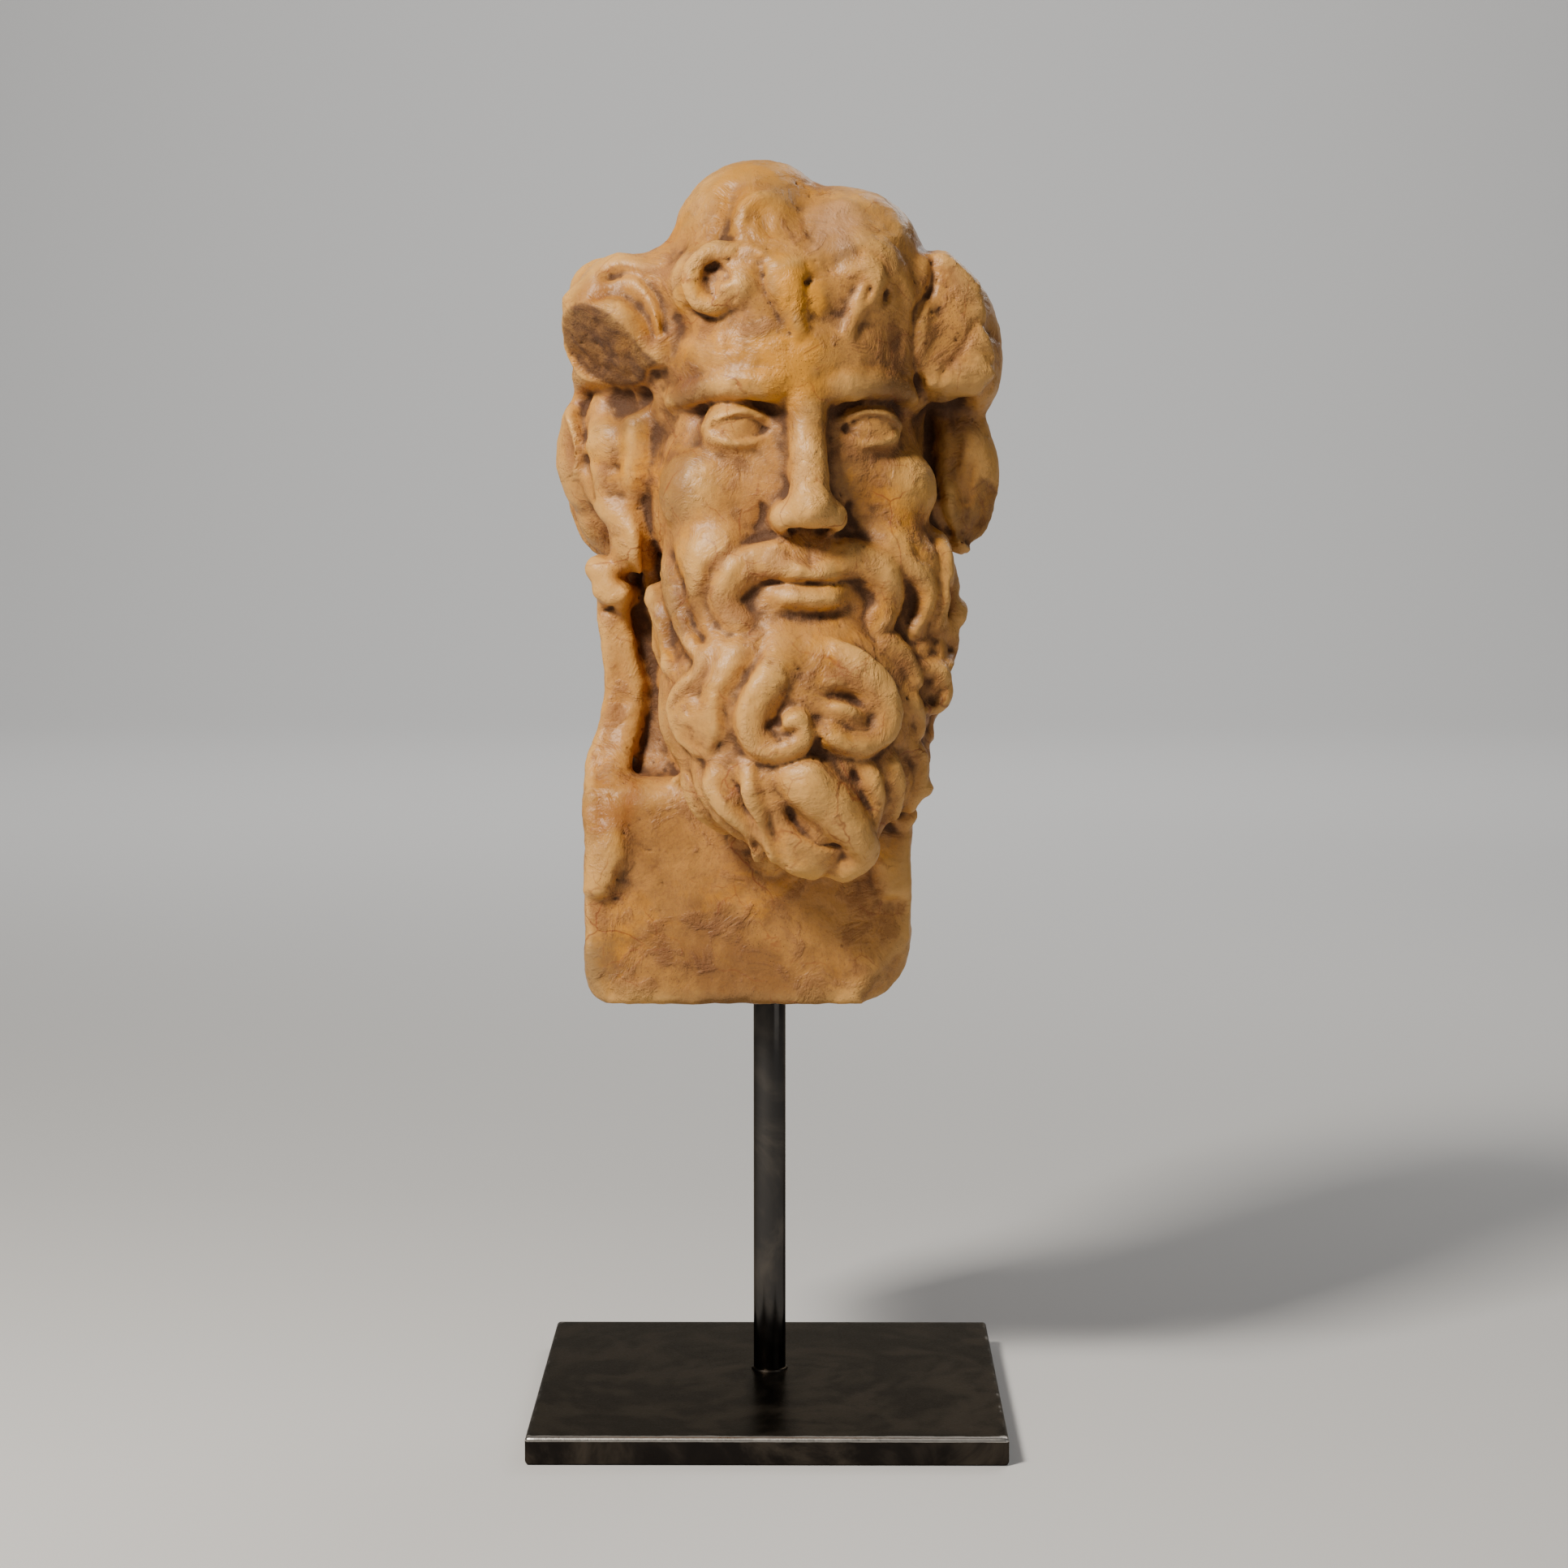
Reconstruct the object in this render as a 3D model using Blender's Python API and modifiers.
"""Marble herm head of a bearded, wreathed figure on a steel rod and base plate.

The herm is one carved stone: a short pillar, a bearded head turned a little to one side, a
wreath with a broad leaf over each temple, ears, and ribbons that fall on the pillar. It is
carved in three passes, as a mason would. The block is roughed out from rounded masses, the
features are fused to it, and strokes of the chisel raise each lock and sink each furrow along
a curve that is laid on the stone. The finished skin is thinned to a faceted solid.
Run with: blender --background --python part.py
"""

import math
from collections import namedtuple

import bmesh
import bpy
import numpy as np
from mathutils import Euler, Matrix, Vector
from mathutils.bvhtree import BVHTree

MM = 0.001

# Stand, in millimetres
PLATE_SIDE = 85.0
PLATE_THICKNESS = 5.0
PLATE_EDGE_ROUND = 0.8
ROD_RADIUS = 3.0
ROD_SIDES = 32
ROD_BACK = 6.0
ROD_DEPTH_IN_STONE = 24.0
PLATE_HOLE_DEPTH = 3.0
FIT_GAP = 0.3

# Pillar of the herm, in millimetres
STONE_BOTTOM = 76.8
PILLAR_TOP = 118.0
PILLAR_WIDTH = 59.4
PILLAR_LEFT = -33.5
PILLAR_FRONT = -12.0
PILLAR_BACK = 27.0
PILLAR_CENTRE = PILLAR_LEFT + PILLAR_WIDTH / 2
SHOULDER_SLOPE = 5.0
LEFT_CORNER = 4.5
RIGHT_CORNER = 10.0

# Head, in millimetres and degrees
HEAD_AXIS = (2.5, 5.0)
HEAD_TURN = 9.0
CROWN_HEIGHT = 225.0
HEAD_HEIGHT = 88.0
CHIN_HEIGHT = CROWN_HEIGHT - HEAD_HEIGHT
FACE_THIRD = HEAD_HEIGHT / 3.5
EYE_HEIGHT = CHIN_HEIGHT + HEAD_HEIGHT / 2
BROW_HEIGHT = CHIN_HEIGHT + 2 * FACE_THIRD
NOSE_BASE = CHIN_HEIGHT + FACE_THIRD
MOUTH_HEIGHT = CHIN_HEIGHT + 2 * FACE_THIRD / 3
EYE_WIDTH = HEAD_HEIGHT * 2 / 3 / 5
EYE_OUT = -23.2
EYE_RADIUS = 5.6
LID_RISE = 3.0
LID_DROP = 2.3
LID_THICKNESS = 1.1

SHARP_ANGLE = 40.0

# Fineness of each pass, in millimetres, and of the solid
BLOCK_VOXEL = 1.4
FEATURE_VOXEL = 0.9
SKIN_VOXEL = 0.7
STONE_TRIANGLES = 8600

# A raised stroke's flank falls this far over half its width, and laps softly over those beneath
FLANK_FALL = 6.0
LAP_SOFTNESS = 0.5
LAP_REACH = 2.2

# A stroke is laid on the stone from this far out, and follows a drop in it only so steeply
LAY_FROM = 120.0
LAY_DROP = 1.5

Mass = namedtuple("Mass", "centre radii tilt", defaults=((0, 0, 0),))
Cord = namedtuple("Cord", "points radii")
Stroke = namedtuple(
    "Stroke",
    "root heading length turns width height moat tip lift side",
    defaults=(0.8, 0.6, 0.0, 0.0),
)
Break = namedtuple("Break", "centre normal reach")


def clear_scene():
    """Removes whatever the file holds, so that only the part is left."""
    for found in list(bpy.data.objects):
        bpy.data.objects.remove(found, do_unlink=True)


def new_collection(name):
    made = bpy.data.collections.new(name)
    bpy.context.scene.collection.children.link(made)
    return made


def principled(name, colour, roughness, metallic):
    material = bpy.data.materials.new(name)
    material.use_nodes = True
    shader = material.node_tree.nodes["Principled BSDF"]
    shader.inputs["Base Color"].default_value = (*colour, 1.0)
    shader.inputs["Roughness"].default_value = roughness
    shader.inputs["Metallic"].default_value = metallic
    return material


def object_from_bmesh(name, mesh_data, collection):
    mesh = bpy.data.meshes.new(name)
    mesh_data.to_mesh(mesh)
    mesh_data.free()
    made = bpy.data.objects.new(name, mesh)
    collection.objects.link(made)
    return made


def evaluated_mesh(source):
    """The object's mesh as its modifiers leave it."""
    bpy.context.view_layer.update()
    graph = bpy.context.evaluated_depsgraph_get()
    return bpy.data.meshes.new_from_object(source.evaluated_get(graph), depsgraph=graph)


# Masses, cords and the passes that fuse them

def head_point(x, y, z):
    """A point of the head's own frame, with y from its axis and forward negative, in the part's."""
    turn = Matrix.Rotation(math.radians(HEAD_TURN), 3, "Z")
    return turn @ Vector((x, y, z)) + Vector((*HEAD_AXIS, 0))


def add_ellipsoid(mesh_data, centre, radii, tilt, turn=0.0, subdivisions=4):
    """An ellipsoid in millimetres, tilted about X, Y and Z, added to the bmesh in metres."""
    rotation = Euler([math.radians(a) for a in (tilt[0], tilt[1], tilt[2] + turn)])
    place = Matrix.Translation(Vector(centre) * MM) @ rotation.to_matrix().to_4x4()
    size = Matrix.Diagonal((*[r * MM for r in radii], 1.0))
    bmesh.ops.create_icosphere(
        mesh_data, subdivisions=subdivisions, radius=1.0, matrix=place @ size
    )


def add_masses(mesh_data, masses, in_head=True, mirrored=False):
    """Adds each mass, and where asked its mirror image across the head's middle."""
    for mass in masses:
        for side in (1, -1) if mirrored else (1,):
            x, y, z = mass.centre
            a, b, c = mass.tilt
            if in_head:
                centre = head_point(x * side, y, z)
                turn = HEAD_TURN
            else:
                centre = (x * side, y, z)
                turn = 0.0
            add_ellipsoid(mesh_data, centre, mass.radii, (a, b * side, c * side), turn)


def add_pillar(mesh_data):
    """The herm's pillar: sloped shoulders above, and worn lower corners, the right one more."""
    made = bmesh.ops.create_cube(mesh_data, size=1.0)["verts"]
    size = Vector((PILLAR_WIDTH, PILLAR_BACK - PILLAR_FRONT, PILLAR_TOP - STONE_BOTTOM))
    middle_y = (PILLAR_FRONT + PILLAR_BACK) / 2
    centre = Vector((PILLAR_CENTRE, middle_y, STONE_BOTTOM + size.z / 2))
    bmesh.ops.transform(
        mesh_data,
        matrix=Matrix.Translation(centre * MM) @ Matrix.Diagonal((*(size * MM), 1.0)),
        verts=made,
    )
    edges = {e for v in made for e in v.link_edges}
    top = [e for e in edges if all(v.co.z > centre.z * MM for v in e.verts)]
    lower = [e for e in edges if all(v.co.z < centre.z * MM for v in e.verts)]
    left = [e for e in lower if all(v.co.x < centre.x * MM for v in e.verts)]
    right = [e for e in lower if all(v.co.x > centre.x * MM for v in e.verts)]
    for chosen, offset, segments in (
        (left, LEFT_CORNER, 4),
        (right, RIGHT_CORNER, 6),
        (top, SHOULDER_SLOPE, 2),
    ):
        bmesh.ops.bevel(
            mesh_data,
            geom=chosen,
            offset=offset * MM,
            segments=segments,
            profile=0.5,
            affect="EDGES",
            material=-1,
        )


NECK_RINGS = (
    # height, left, right, front, back
    (106.0, -30.5, 24.0, -9.0, 26.0),
    (118.0, -30.5, 24.5, -7.0, 27.0),
    (126.0, -29.5, 25.5, -4.0, 28.5),
    (138.0, -28.5, 27.5, -4.0, 30.5),
    (150.0, -31.0, 29.0, -4.0, 33.0),
    (164.0, -31.5, 31.0, -2.0, 35.0),
)
NECK_SIDES = 32


def add_neck(mesh_data):
    """The neck and the hair behind it: rings that narrow above the pillar and widen above."""
    loops = []
    for height, left, right, front, back in NECK_RINGS:
        middle = Vector(((left + right) / 2, (front + back) / 2, height)) * MM
        size = Matrix.Diagonal(((right - left) / 2 * MM, (back - front) / 2 * MM, 1.0, 1.0))
        ring = bmesh.ops.create_circle(
            mesh_data,
            radius=1.0,
            segments=NECK_SIDES,
            matrix=Matrix.Translation(middle) @ size,
        )["verts"]
        loops.append(list({e for v in ring for e in v.link_edges}))
    for below, above in zip(loops, loops[1:]):
        bmesh.ops.bridge_loops(mesh_data, edges=below + above)
    bmesh.ops.contextual_create(mesh_data, geom=loops[0])
    bmesh.ops.contextual_create(mesh_data, geom=loops[-1])
    bmesh.ops.recalc_face_normals(mesh_data, faces=mesh_data.faces)


def tube_curve(name, collection):
    """An empty curve object whose splines become round tubes, a radius at each point."""
    curve = bpy.data.curves.new(name, "CURVE")
    curve.dimensions = "3D"
    curve.bevel_depth = 1.0
    curve.bevel_resolution = 4
    curve.use_fill_caps = True
    made = bpy.data.objects.new(name, curve)
    collection.objects.link(made)
    return made


def smooth_line(points, radii, steps=8):
    """A Catmull-Rom line through the points, with the radii eased between them."""
    ends = [points[0] * 2 - points[1], *points, points[-1] * 2 - points[-2]]
    line = []
    for i in range(len(points) - 1):
        a, b, c, d = ends[i : i + 4]
        for k in range(steps):
            t = k / steps
            place = 0.5 * (
                2 * b
                + (c - a) * t
                + (2 * a - 5 * b + 4 * c - d) * t * t
                + (3 * b - a - 3 * c + d) * t * t * t
            )
            line.append((place, radii[i] + (radii[i + 1] - radii[i]) * t))
    line.append((points[-1], radii[-1]))
    return line


def add_cords(curve, cords, in_head=True, mirrored=False):
    for cord in cords:
        for side in (1, -1) if mirrored else (1,):
            points = [Vector((p[0] * side, p[1], p[2])) for p in cord.points]
            if in_head:
                points = [head_point(*p) for p in points]
            line = smooth_line(points, cord.radii)
            spline = curve.splines.new("POLY")
            spline.points.add(len(line) - 1)
            for target, (place, radius) in zip(spline.points, line):
                target.co = (*(place * MM), 1.0)
                target.radius = radius * MM


def fuse(stone, voxel, softening):
    """Fuses the object's shells into one skin, softens it, and keeps the result as its mesh."""
    remesh = stone.modifiers.new("fuse", "REMESH")
    remesh.mode = "VOXEL"
    remesh.voxel_size = voxel * MM
    if softening:
        smooth = stone.modifiers.new("soften", "SMOOTH")
        smooth.factor = 0.5
        smooth.iterations = softening
    mesh = evaluated_mesh(stone)
    stone.modifiers.clear()
    stone.data = mesh


# Strokes of the chisel, each along an Euler spiral that is laid on the stone

def stroke_path(stroke, step=1.0):
    """(sideways, height) of points along the stroke in its view, in millimetres."""
    first, second = (math.radians(turn) for turn in stroke.turns)
    bend_start = 3 * first - second
    bend_end = 3 * second - first
    count = max(8, round(stroke.length / step))
    x, z = stroke.root
    path = [(x, z)]
    for i in range(count):
        t = (i + 0.5) / count
        bend = bend_start * t + (bend_end - bend_start) * t * t / 2
        heading = math.radians(stroke.heading) + bend
        x += math.cos(heading) * stroke.length / count
        z += math.sin(heading) * stroke.length / count
        path.append((x, z))
    return path


def view_axes(side):
    """(right, towards the viewer) for a view from that many degrees round the head."""
    angle = math.radians(side)
    right = Vector((math.cos(angle), math.sin(angle), 0))
    near = Vector((math.sin(angle), -math.cos(angle), 0))
    return right, near


def lay_on(tree, stroke):
    """The stroke's centre line on the stone, as an array of points in millimetres."""
    right, near = view_axes(stroke.side)
    axis = Vector((*HEAD_AXIS, 0)) if stroke.side else Vector((0, 0, 0))
    path = stroke_path(stroke)
    depths = []
    for x, z in path:
        start = (axis + right * x + near * LAY_FROM + Vector((0, 0, z))) * MM
        hit = tree.ray_cast(start, -near)[0]
        depths.append(None if hit is None else (hit - axis * MM).dot(near) / MM)
    last = next(depth for depth in depths if depth is not None)
    for i, depth in enumerate(depths):
        last = last - LAY_DROP / 3 if depth is None else max(depth, last - LAY_DROP)
        depths[i] = last
    line = [axis + right * x + near * d + Vector((0, 0, z)) for (x, z), d in zip(path, depths)]
    return np.array([tuple(point) for point in line])


def along_line(places, line):
    """Each place's distance to the line, and the share of the line there."""
    best = np.full(len(places), np.inf)
    share = np.zeros(len(places))
    for i, (start, end) in enumerate(zip(line[:-1], line[1:])):
        step = end - start
        t = np.clip((places - start) @ step / (step @ step), 0.0, 1.0)
        away = places - start - t[:, None] * step
        distance = np.linalg.norm(away, axis=1)
        nearer = distance < best
        best[nearer] = distance[nearer]
        share[nearer] = ((i + t) / (len(line) - 1))[nearer]
    return best, share


def eased(low, high, value):
    """0 below low, 1 above high and a smooth step between."""
    t = np.clip((value - low) / (high - low), 0.0, 1.0)
    return t * t * (3 - 2 * t)


def soft_max(a, b, blend):
    h = np.clip(0.5 + 0.5 * (a - b) / blend, 0.0, 1.0)
    return b + (a - b) * h + blend * h * (1 - h)


def carve(stone, strokes, mirrored=False):
    """Raises or sinks the skin along each stroke, later strokes lying over earlier ones."""
    mesh = stone.data
    count = len(mesh.vertices)
    places = np.empty(count * 3)
    mesh.vertices.foreach_get("co", places)
    places = places.reshape(-1, 3) / MM
    normals = np.empty(count * 3)
    mesh.vertices.foreach_get("normal", normals)
    normals = normals.reshape(-1, 3)
    relief = np.zeros(count)
    shells = bmesh.new()
    shells.from_mesh(mesh)
    tree = BVHTree.FromBMesh(shells)
    shells.free()
    for stroke in strokes:
        for each in (stroke, mirror_image(stroke)) if mirrored else (stroke,):
            press(places, relief, lay_on(tree, each), each)
    moved = (places + normals * relief[:, None]) * MM
    mesh.vertices.foreach_set("co", moved.ravel())
    mesh.update()


def mirror_image(stroke):
    """The same stroke on the other side of the head's middle."""
    return stroke._replace(
        root=(-stroke.root[0], stroke.root[1]),
        heading=180 - stroke.heading,
        turns=tuple(-turn for turn in stroke.turns),
    )


def press(places, relief, line, stroke):
    """Adds one stroke to the relief: a dome with a moat beside it, or a furrow."""
    reach = stroke.width * 1.2 + 1.0
    near = np.all((places > line.min(axis=0) - reach) & (places < line.max(axis=0) + reach), axis=1)
    picked = np.flatnonzero(near)
    if not len(picked):
        return
    away, share = along_line(places[picked], line)
    swell = 0.7 + 0.3 * eased(0.0, 0.25, share)
    radius = stroke.width / 2 * swell * (1 + (stroke.tip - 1) * eased(0.3, 1.0, share))
    u = away / radius
    if stroke.height > 0:
        rise = eased(0.0, 0.15, share) * 0.6 + 0.4
        dome = np.sqrt(np.clip(1 - u * u, 0.0, 1.0))
        flank = FLANK_FALL * np.clip(u - 1, 0.0, 1.0)
        top = stroke.lift + stroke.height * rise * dome - flank
        moat = stroke.moat * np.exp(-(((u - 1.1) / 0.35) ** 2))
        under = relief[picked] - moat
        laid = soft_max(under, top, LAP_SOFTNESS)
        relief[picked] = np.where(u < LAP_REACH, laid, relief[picked])
    else:
        relief[picked] += stroke.height * np.exp(-1.6 * u * u) * eased(0.0, 0.1, share + 0.05)


def break_off(stone, breaks):
    """Flattens what stands past each break's plane, within its reach."""
    mesh = stone.data
    places = np.empty(len(mesh.vertices) * 3)
    mesh.vertices.foreach_get("co", places)
    places = places.reshape(-1, 3) / MM
    for spot in breaks:
        normal = np.array(spot.normal, float)
        normal /= np.linalg.norm(normal)
        away = places - np.array(spot.centre, float)
        past = away @ normal
        inside = (np.linalg.norm(away, axis=1) < spot.reach) & (past > 0)
        places[inside] -= past[inside, None] * normal
    mesh.vertices.foreach_set("co", (places * MM).ravel())
    mesh.update()


def open_eyes(stone):
    """Sinks the almond between the two lids of each eye, which two parabolas bound."""
    mesh = stone.data
    places = np.empty(len(mesh.vertices) * 3)
    mesh.vertices.foreach_get("co", places)
    places = places.reshape(-1, 3) / MM
    angle = math.radians(HEAD_TURN)
    right = np.array((math.cos(angle), math.sin(angle), 0.0))
    back = np.array((-math.sin(angle), math.cos(angle), 0.0))
    from_axis = places - (*HEAD_AXIS, 0.0)
    sideways = from_axis @ right
    forward = from_axis @ back < EYE_OUT + EYE_RADIUS / 3
    for centre in (-EYE_WIDTH, EYE_WIDTH):
        across = (sideways - centre) / (EYE_WIDTH / 2)
        height = from_axis[:, 2] - EYE_HEIGHT
        width = 1 - across * across
        inside = np.minimum(LID_RISE * width - height, height + LID_DROP * width)
        sunk = LID_THICKNESS * eased(-0.1, 0.5, inside) * forward * (np.abs(across) < 1)
        places += sunk[:, None] * back
    mesh.vertices.foreach_set("co", (places * MM).ravel())
    mesh.update()


# The stone's masses

HEAD_MASSES = (
    # cranium, nape and forehead
    Mass((0, 4, 190), (28.5, 32.5, 34)),
    Mass((0, 18, 168), (27, 20, 27)),
    Mass((0, -12, 193), (23.5, 19.0, 16)),
    # face and mouth
    Mass((0, -8, 170), (25.5, 20.5, 30)),
    Mass((0, -21.0, MOUTH_HEIGHT + 1), (14, 10.8, 12)),
    # jaw and the body of the beard
    Mass((0, -12, 147), (26, 19, 20)),
    Mass((-1.0, -19, 132), (24.8, 18, 21)),
    Mass((-0.5, -23, 119), (20.5, 15, 13)),
    Mass((1.4, -27, 110), (12.5, 10, 8)),
)

CHEEK_MASSES = (
    Mass((16.5, -18.5, 170), (9, 8.5, 8.5)),
    Mass((14, -21, 158), (9, 9, 9)),
)

BODY_MASSES = (
    # hair over the crown: two high tufts and the roll in front of them
    Mass((-2, -5, 214), (15.5, 15, 15.5)),
    Mass((13.5, -7, 211), (14.5, 15, 13.5)),
    Mass((2, -13, 208), (17, 13, 11)),
    Mass((4, 8, 209), (21, 18, 13)),
    # the bodies of the curls over the forehead
    Mass((-10, -18.5, 206), (7.5, 5.5, 7.5)),
    Mass((-1, -17, 216), (8.5, 6, 7)),
    Mass((4.5, -20.5, 206), (6, 5, 8)),
    Mass((17.5, -18, 205), (7, 6, 9)),
    # hair behind the leaves, and between them and the tufts
    Mass((-24, 0, 200), (11, 13, 12)),
    Mass((-28.0, 4, 190), (8.5, 9, 10)),
    Mass((-18, -6, 206), (9, 9, 8)),
    Mass((31, 4, 198), (9, 12, 15)),
    # beard that recedes to the right ear, and the lock behind its lower row
    Mass((27.2, -8, 152), (7.6, 9, 12)),
    Mass((25, -10, 138), (7.0, 9, 12)),
    Mass((23.5, -13, 121), (5.4, 6, 9)),
    # neck behind the ribbons
    Mass((-24.0, 11, 136), (5.0, 9.5, 24)),
    Mass((21.5, 11, 136), (5.0, 9.5, 24)),
    # roots of the ears and the hair behind them
    Mass((-27, 4, 176), (6, 8, 13)),
    Mass((32, 5, 173), (6, 8, 14)),
    Mass((-31.0, 10, 172), (6.0, 8, 14)),
)

# Features that are fused to the block

FACE_MASSES = (
    Mass((0, -34.4, NOSE_BASE + 4.8), (4.2, 4.2, 3.9)),
)

PAIRED_FACE_MASSES = (
    Mass((EYE_WIDTH, EYE_OUT, EYE_HEIGHT + 0.3), (EYE_RADIUS * 1.15, EYE_RADIUS, EYE_RADIUS)),
    Mass((4.6, -31.8, NOSE_BASE + 3.3), (2.9, 4.2, 2.9)),
)

FACE_CORDS = (
    # nose bridge, lower lip
    Cord(
        ((0, -26.6, BROW_HEIGHT + 1), (0, -28.3, 181), (0, -31.0, 173), (0, -33.6, 167.4)),
        (3.6, 3.4, 3.9, 4.4),
    ),
    Cord(
        ((-7.5, -29.2, 152.4), (-3.5, -31.4, 151.3), (3.5, -31.4, 151.3), (7.5, -29.2, 152.4)),
        (0.9, 2.0, 2.0, 0.9),
    ),
)

PAIRED_FACE_CORDS = (
    # upper lip
    Cord(((0, -32.2, 155.6), (3.0, -32.0, 156.1), (8.5, -29.0, MOUTH_HEIGHT)), (1.4, 1.8, 0.8)),
)

LEAF_CORDS = (
    # the arc of the left leaf, from its tip over to the temple
    Cord(
        ((-32.5, -8, 203.0), (-28.5, -12, 205.5), (-22, -14, 203.5), (-18.5, -15, 197),
         (-18.5, -13, 190)),
        (4.6, 6.4, 7.2, 6.4, 3.6),
    ),
)

LEAF_MASSES = (
    # the root of the left leaf, the right leaf with its lower lobe, and the leaf behind it
    Mass((-27.5, -3, 198.5), (10.0, 12, 11.5), (0, 10, 0)),
    Mass((32.6, -11.5, 200.8), (7.6, 4.2, 12.6), (0, -8, -18)),
    Mass((34.5, -9.5, 192.8), (5.6, 4.0, 7.2), (0, -24, -18)),
    Mass((37.5, 0, 195), (5.2, 8, 12), (0, -6, -14)),
)

EAR_CORDS = (
    # lobe of the left ear
    Cord(((-31.0, 1, 170), (-29.6, -2, 167.0), (-26.0, -4, 166.0)), (3.0, 3.2, 2.4)),
)

EAR_MASSES = (
    # the shell of each ear, the lobe of the right one, and the flap before each
    Mass((-32.6, 2.5, 179), (7.0, 3.4, 13), (0, 6, -28)),
    Mass((36.2, 3.5, 174), (6.6, 3.4, 14.5), (0, -7, 28)),
    Mass((34.0, 1.0, 163), (4.4, 4.0, 5.0)),
    Mass((-25.6, -4, 173), (2.6, 3, 6), (0, 10, 0)),
    Mass((31.6, -3, 170), (2.8, 3, 7), (0, -10, 0)),
)

KNOT_MASSES = (
    # knots of the ribbons under the ears
    Mass((-29.4, 0, 151.8), (4.4, 4.6, 5.2)),
    Mass((27.0, 1, 151.8), (4.4, 4.6, 5.2)),
)

RIBBON_CORDS = (
    # from the knot under each ear down to the pillar, where the end lies as a drop
    Cord(
        ((-29.0, 0, 149), (-27.6, -0.5, 140), (-26.8, 0, 133), (-28.0, -1, 126.5),
         (-30.2, -4, 119), (-30.6, -9.0, 112.5), (-30.0, -11.2, 106), (-30.6, -12.0, 101),
         (-31.2, -12.2, 97)),
        (2.8, 2.7, 3.0, 3.4, 3.8, 4.2, 3.8, 3.0, 2.2),
    ),
    Cord(
        ((26.6, 0, 149), (24.8, -0.5, 140), (23.2, 0, 133), (22.8, -1, 126.5),
         (22.6, -4, 119), (22.2, -9.0, 112.5), (21.8, -11.2, 106), (22.2, -12.0, 101),
         (22.8, -12.2, 97)),
        (2.8, 2.7, 3.0, 3.4, 3.8, 4.2, 3.8, 3.0, 2.2),
    ),
)

WREATH_CORDS = (
    # the band round the back of the head, from leaf to leaf
    Cord(
        ((-28, 2, 202), (-30.4, 14, 200), (-25.0, 28.6, 196), (-10, 38.8, 192.5), (8, 40.0, 192),
         (23, 32.6, 195), (33, 18, 198.5), (34, 4, 201)),
        (4.0, 4.0, 4.0, 4.0, 4.0, 4.0, 4.0, 4.0),
    ),
)

# Strokes of the first pass: sockets, temples and the hollows at the sides of the mouth

SOCKET_STROKES = (
    Stroke((6.0, 182.0), 0, 12, (0, -12), 9.5, -2.6, side=HEAD_TURN),
    Stroke((22.5, 186.0), -80, 10, (0, 0), 8.0, -0.8, side=HEAD_TURN),
    Stroke((6.5, 167.0), -50, 14, (-10, -10), 4.5, -0.5, side=HEAD_TURN),
)

# Strokes of the second pass: locks of hair and beard

BROW_STROKES = (
    Stroke((2.0, 186.0), 26, 21, (-24, -30), 6.4, 1.0, 0.1, 0.6, side=HEAD_TURN),
)

BEARD_STROKES = (
    # rows under the spirals, from the left jaw to the tip
    Stroke((-13.6, 123.0), -75, 13, (6, 6), 3.6, 2.0),
    Stroke((-2.8, 123.0), -78, 15, (17, -25), 5.6, 2.2, 0.4),
    Stroke((-8.5, 123.0), -100, 18, (50, -25), 4.4, 3.0, 1.0),
    Stroke((2.0, 108.5), -43, 10, (8, 8), 6.0, 2.0, 0.4),
    Stroke((-3.3, 108.6), -80, 6, (23, 23), 3.4, 2.0),
    Stroke((3.6, 115.6), -48, 12, (12, 30), 4.0, -2.2),
    # the twisted lock of the tip
    Stroke((9.5, 124.5), -96, 27.5, (31, -133), 9.4, 4.2, 1.4, 0.6),
    # curls at the right of the tip
    Stroke((27.8, 126.5), -52, 12, (-42, -27), 4.6, 2.0),
    Stroke((18.0, 122.7), 45, 20.5, (-110, -75), 3.6, 3.0, 1.0, 0.8),
    Stroke((21.5, 121.5), -11, 8, (-90, -20), 2.2, 2.0, 0.6),
    Stroke((15.8, 118.3), 110, 9, (-115, -115), 2.0, 1.6, 0.4, 1.0),
    Stroke((23.9, 115.0), -31, 8.5, (-70, -53), 5.2, 2.6, 0.8, 0.8),
    # jaw, left and right
    Stroke((-11.0, 135.2), -163, 17, (78, 120), 3.2, 2.6, 1.0, 0.9),
    Stroke((-9.1, 146), -92, 13, (27, 55), 6.4, 1.6, 0.6, 0.8),
    Stroke((-15.5, 144), -72, 9, (-25, -30), 5.4, 1.4, 0.6, 0.8),
    Stroke((19.8, 146), -55, 13, (27, 80), 5.6, 1.8, 0.6, 0.8),
    Stroke((25.7, 135.4), 70, 8, (-86, -95), 5.8, 2.6, 0.8, 0.9),
    Stroke((30.5, 131.0), -152, 5, (24, 24), 3.2, 1.8, 0.6, 0.8),
    # inner ridges, then the two great spirals
    Stroke((3.3, 134.3), -163, 7, (55, 54), 1.8, 2.0, 0.4, 0.8),
    Stroke((3.5, 142.0), -101, 9.5, (-23, 6), 2.6, 3.4, 0.6, 0.7),
    Stroke((0.2, 142.0), -116, 29, (50, 195), 5.8, 4.6, 1.6, 1.0),
    Stroke((12.9, 133.0), 25, 11.5, (-89, -176), 3.0, 2.4, 0.6, 0.8),
    Stroke((9.6, 142.0), 3, 32, (-80, -135), 5.8, 4.4, 1.4, 0.8),
)

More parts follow.
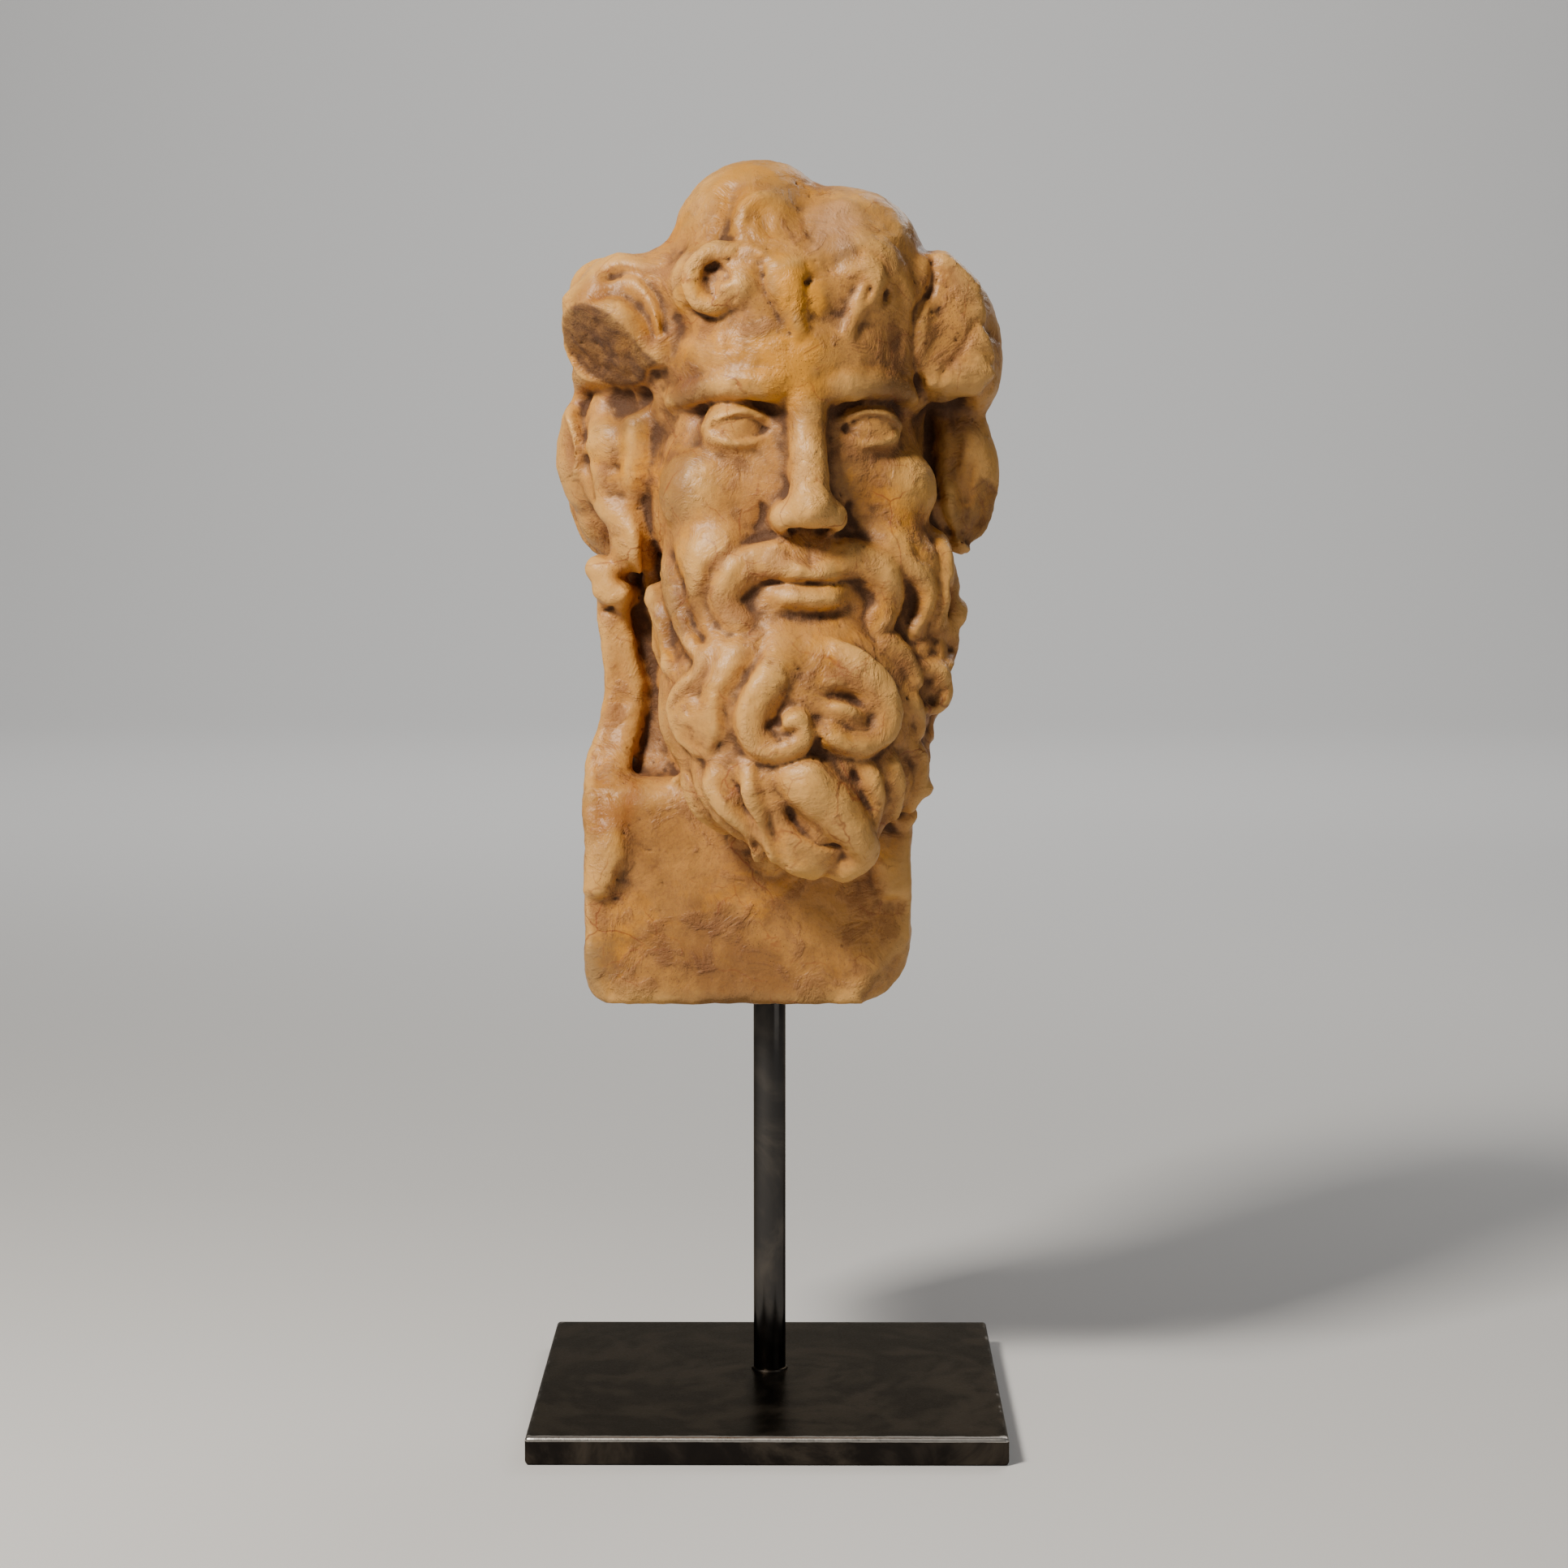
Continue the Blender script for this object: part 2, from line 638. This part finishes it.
MOUSTACHE_STROKES = (
    Stroke((5.5, 158.8), 178, 24, (55, 100), 5.2, 2.6, 0.8, 0.9),
    Stroke((8.6, 158.8), 8, 20, (-35, -105), 5.2, 2.6, 0.8, 0.8),
    Stroke((25.2, 156.0), -30, 12, (-80, -26), 4.6, 1.8, 0.6, 0.7),
)

CHEEK_STROKES = (
    Stroke((-23.8, 166), -79, 21, (-10, 29), 4.4, 2.0, 0.8, 0.8),
    Stroke((-21.0, 165), -93, 24, (11, 31), 4.6, 2.6, 0.9, 0.8),
    Stroke((-16.0, 165), -87, 23, (6, 36), 5.0, 3.0, 1.0, 0.8),
    Stroke((31.6, 164.6), -52, 17, (-27, -44), 5.0, 2.6, 0.9, 0.8),
    Stroke((29.3, 164.7), -72, 13, (-8, -8), 3.4, 2.2, 0.8, 0.8),
    Stroke((26.6, 164), -55, 13, (-17, -17), 4.4, 2.6, 0.8, 0.8),
)

FOREHEAD_STROKES = (
    # furrow beside the left tuft, and rolls of the right one
    Stroke((-7.5, 223.0), -103, 10, (2, 2), 5.0, -1.6),
    Stroke((19.9, 222.5), -34, 15, (-45, -48), 3.4, 1.6, 0.6, 0.8),
    Stroke((12.8, 210.8), 18, 12, (-37, -71), 5.4, 2.8, 0.8, 0.8),
    # C curl: its disc, rim and inner ridge
    Stroke((-1.0, 217.6), 20, 6, (0, 0), 9.0, 1.2, 0.2, 1.0),
    Stroke((-4.7, 213.0), 104, 16, (-55, -62), 3.6, 2.6, 0.8, 0.8),
    Stroke((-0.5, 213.8), 144, 9, (-64, -70), 2.6, 1.9, 0.5, 0.8),
    # ring curl: its disc and rim
    Stroke((-10.2, 205.4), -10, 5, (0, 0), 6.4, 1.9, 0.2, 1.0),
    Stroke((-4.4, 210.4), 135, 25.5, (125, 108), 4.0, 3.6, 1.3, 1.0),
    # drop curl and forelock
    Stroke((3.0, 211.6), -93, 14, (20, 15), 7.2, 3.8, 0.9, 0.75),
    Stroke((21.4, 208.6), 165, 16, (80, 14), 5.4, 3.4, 0.9, 0.8),
)

EAR_STROKES = (
    # hollow and rim of the left ear, then of the right
    Stroke((-31.2, 187.0), -92, 14, (0, 12), 5.4, -2.4),
    Stroke((-33.6, 191.0), -108, 25, (12, 42), 3.0, 1.8, 0.6, 1.0),
    Stroke((35.6, 184.0), -92, 17, (-4, -8), 5.0, -2.4),
    Stroke((37.4, 187.6), -78, 27, (-10, -20), 3.0, 1.6, 0.6, 1.0),
)

LEAF_STROKES = (
    Stroke((-24.9, 208.9), -1, 12, (-53, -17), 2.6, -2.0),
    Stroke((-29.7, 204.7), 37, 16, (-82, -23), 3.0, -2.2),
    Stroke((37.4, 200.2), -95, 17, (-35, 33), 2.4, -2.2),
)

# Strokes of the last pass: eyelids, mouth, nostrils, drilled curls and furrows

LID_STROKES = (
    # rim of the upper lid, the crease over it, and the rim of the lower lid
    Stroke((5.4, 181.2), 46, 14.5, (-46, -48), 2.2, 1.1, 0.3, 0.8, side=HEAD_TURN),
    Stroke((5.6, 183.6), 42, 13.5, (-42, -46), 1.4, -0.7, side=HEAD_TURN),
    Stroke((6.2, 180.0), -30, 12.0, (30, 32), 1.8, 0.7, 0.2, 0.8, side=HEAD_TURN),
)

FACE_FURROWS = (
    Stroke((-8.4, 154.0), -3, 16.8, (4, 4), 1.6, -1.1, side=HEAD_TURN),
    Stroke((0, 161.4), -90, 4.6, (0, 0), 2.2, -0.6, side=HEAD_TURN),
    Stroke((-5, 148.6), -8, 10, (8, 8), 4.0, -0.8, side=HEAD_TURN),
)

NOSTRILS = (
    Stroke((2.0, 163.2), 0, 2.0, (0, 0), 2.0, -1.6, side=HEAD_TURN),
    Stroke((8.0, 168.5), -100, 5, (20, 30), 1.8, -0.8, side=HEAD_TURN),
)

DRILL_STROKES = (
    # ring curl, drop curl, forelock
    Stroke((-10.7, 208.6), 20, 4.7, (-28, -28), 2.2, -4.0),
    Stroke((6.9, 206.3), 22, 2.0, (0, 0), 2.8, -2.6),
    Stroke((16.5, 204.6), 38, 3.0, (0, 0), 2.8, -3.2),
    Stroke((20.8, 205.2), -90, 2.4, (0, 0), 2.4, -3.0),
    # beard: the furrow of the left row, under the twisted lock, inside the left shell
    Stroke((-5.7, 122.0), -75, 16, (20, -30), 1.8, -2.0),
    Stroke((-12.9, 131.2), -90, 2.0, (0, 0), 4.0, -1.6),
)

BREAKS = (
    # underside of the left leaf, tuft over the right brow, edge of the right ear
    Break((-27.0, -17.5, 197.0), (-0.60, -0.56, -0.57), 17.0),
    Break((15.0, -20.5, 218.5), (0.15, -0.75, 0.65), 11.0),
    Break((39.0, 0, 173), (0.8, -0.6, 0.0), 9.0),
    # face of the right leaf, which is all but flat
    Break((33.0, -14.6, 199.5), (0.30, -0.95, -0.05), 13.0),
)

BACK_LOCKS = 9
BACK_LOCK_SPREAD = 150.0
BACK_LOCK_SWAY = 14
BAND_WRAPS = 11
BAND_HEIGHT = 202.5
BAND_DIP = 9.0


def back_strokes():
    """Combed locks behind, a row above the band and a row below, and the wraps of the band."""
    strokes = []
    for i in range(BACK_LOCKS):
        share = i / (BACK_LOCKS - 1) - 0.5
        side = 180 + share * BACK_LOCK_SPREAD
        sway = BACK_LOCK_SWAY if i % 2 else -BACK_LOCK_SWAY
        bends = (-2 * sway, 2 * sway)
        strokes.append(
            Stroke((0, 189), -90 + sway, 34, bends, 8.0, 2.0, 0.8, 0.7, side=side)
        )
        strokes.append(
            Stroke((0, 222), -90 - sway, 17, (sway, sway), 8.0, 1.6, 0.8, 0.8, side=side)
        )
    for i in range(BAND_WRAPS):
        angle = 180 + ((i + 0.5) / BAND_WRAPS - 0.5) * BACK_LOCK_SPREAD
        height = BAND_HEIGHT + BAND_DIP * math.cos(math.radians(angle))
        strokes.append(Stroke((-2.4, height + 3.6), -58, 9, (0, 0), 2.4, -1.0, side=angle))
    return strokes


def carve_stone(collection):
    """The herm's skin at full fineness."""
    shells = bmesh.new()
    add_masses(shells, HEAD_MASSES)
    add_masses(shells, CHEEK_MASSES, mirrored=True)
    add_masses(shells, BODY_MASSES, in_head=False)
    add_neck(shells)
    stone = object_from_bmesh("herm", shells, collection)
    fuse(stone, BLOCK_VOXEL, 12)
    carve(stone, SOCKET_STROKES, mirrored=True)

    tubes = tube_curve("tubes", collection)
    add_cords(tubes.data, FACE_CORDS)
    add_cords(tubes.data, PAIRED_FACE_CORDS, mirrored=True)
    for cords in (EAR_CORDS, LEAF_CORDS, RIBBON_CORDS, WREATH_CORDS):
        add_cords(tubes.data, cords, in_head=False)
    shells = bmesh.new()
    shells.from_mesh(evaluated_mesh(tubes))
    bpy.data.objects.remove(tubes, do_unlink=True)
    bmesh.ops.remove_doubles(shells, verts=shells.verts, dist=0.001 * MM)
    shells.from_mesh(stone.data)
    add_pillar(shells)
    add_masses(shells, FACE_MASSES)
    add_masses(shells, PAIRED_FACE_MASSES, mirrored=True)
    add_masses(shells, LEAF_MASSES, in_head=False)
    add_masses(shells, (*EAR_MASSES, *KNOT_MASSES), in_head=False)
    shells.to_mesh(stone.data)
    shells.free()
    fuse(stone, FEATURE_VOXEL, 5)
    carve(stone, BROW_STROKES, mirrored=True)
    carve(stone, back_strokes())
    carve(
        stone,
        (*CHEEK_STROKES, *BEARD_STROKES, *MOUSTACHE_STROKES, *FOREHEAD_STROKES, *EAR_STROKES,
         *LEAF_STROKES),
    )
    fuse(stone, SKIN_VOXEL, 3)
    open_eyes(stone)
    carve(stone, LID_STROKES, mirrored=True)
    carve(stone, NOSTRILS, mirrored=True)
    carve(stone, (*FACE_FURROWS, *DRILL_STROKES))
    break_off(stone, BREAKS)
    fuse(stone, SKIN_VOXEL, 1)
    return stone


def add_rod(mesh_data, radius, bottom, top):
    """A closed upright cylinder on the rod's axis, in millimetres."""
    place = Vector((0.0, ROD_BACK, (bottom + top) / 2)) * MM
    return bmesh.ops.create_cone(
        mesh_data,
        cap_ends=True,
        segments=ROD_SIDES,
        radius1=radius * MM,
        radius2=radius * MM,
        depth=(top - bottom) * MM,
        matrix=Matrix.Translation(place),
    )["verts"]


def cut(target, cutter):
    """Subtracts the cutter from the target and keeps the result as the target's mesh."""
    boolean = target.modifiers.new("cut", "BOOLEAN")
    boolean.operation = "DIFFERENCE"
    boolean.object = cutter
    boolean.solver = "EXACT"
    mesh = evaluated_mesh(target)
    target.modifiers.clear()
    target.data = mesh
    bpy.data.objects.remove(cutter, do_unlink=True)


def build_stone(parts, cutters):
    """The herm as a faceted solid, flat below, with the rod's bore in its underside."""
    stone = carve_stone(parts)
    thin = stone.modifiers.new("thin", "DECIMATE")
    thin.ratio = STONE_TRIANGLES / (2 * len(stone.data.polygons))
    mesh = evaluated_mesh(stone)
    stone.modifiers.clear()
    stone.data = mesh

    below = bmesh.new()
    bmesh.ops.create_cube(below, size=1.0)
    lift = Matrix.Translation(Vector((0, 0, STONE_BOTTOM - PLATE_SIDE / 2)) * MM)
    bmesh.ops.transform(
        below, matrix=lift @ Matrix.Scale(PLATE_SIDE * MM, 4), verts=below.verts
    )
    cut(stone, object_from_bmesh("below_stone", below, cutters))
    bore = bmesh.new()
    top = STONE_BOTTOM + ROD_DEPTH_IN_STONE + FIT_GAP
    add_rod(bore, ROD_RADIUS + FIT_GAP, STONE_BOTTOM - PLATE_THICKNESS, top)
    cut(stone, object_from_bmesh("bore", bore, cutters))
    return stone


def build_plate(parts, cutters):
    """The square base plate, its upper edges eased, with a blind hole for the rod."""
    mesh_data = bmesh.new()
    bmesh.ops.create_cube(mesh_data, size=1.0)
    size = Matrix.Diagonal((PLATE_SIDE * MM, PLATE_SIDE * MM, PLATE_THICKNESS * MM, 1.0))
    lift = Matrix.Translation(Vector((0, 0, PLATE_THICKNESS / 2)) * MM)
    bmesh.ops.transform(mesh_data, matrix=lift @ size, verts=mesh_data.verts)
    eased_edges = [e for e in mesh_data.edges if any(v.co.z > 0 for v in e.verts)]
    bmesh.ops.bevel(
        mesh_data,
        geom=eased_edges,
        offset=PLATE_EDGE_ROUND * MM,
        segments=2,
        profile=0.5,
        affect="EDGES",
        material=-1,
    )
    plate = object_from_bmesh("base_plate", mesh_data, parts)
    hole = bmesh.new()
    floor = PLATE_THICKNESS - PLATE_HOLE_DEPTH
    add_rod(hole, ROD_RADIUS + FIT_GAP, floor, PLATE_THICKNESS + PLATE_HOLE_DEPTH)
    cut(plate, object_from_bmesh("hole", hole, cutters))
    return plate


def build_rod(parts):
    """The mount rod, from the plate's blind hole up into the stone."""
    mesh_data = bmesh.new()
    bottom = PLATE_THICKNESS - PLATE_HOLE_DEPTH + FIT_GAP
    add_rod(mesh_data, ROD_RADIUS, bottom, STONE_BOTTOM + ROD_DEPTH_IN_STONE)
    return object_from_bmesh("mount_rod", mesh_data, parts)


def main():
    clear_scene()
    parts = new_collection("roman_herm")
    cutters = new_collection("cutters")
    cutters.hide_render = True
    stone = build_stone(parts, cutters)
    plate = build_plate(parts, cutters)
    rod = build_rod(parts)
    for part in (stone, plate, rod):
        part.data.shade_smooth()
        part.data.set_sharp_from_angle(angle=math.radians(SHARP_ANGLE))
    stone.data.materials.append(principled("yellow_marble", (0.62, 0.40, 0.19), 0.42, 0.0))
    plate.data.materials.append(principled("dark_steel", (0.05, 0.05, 0.055), 0.38, 1.0))
    rod.data.materials.append(principled("polished_steel", (0.32, 0.31, 0.30), 0.25, 1.0))


main()
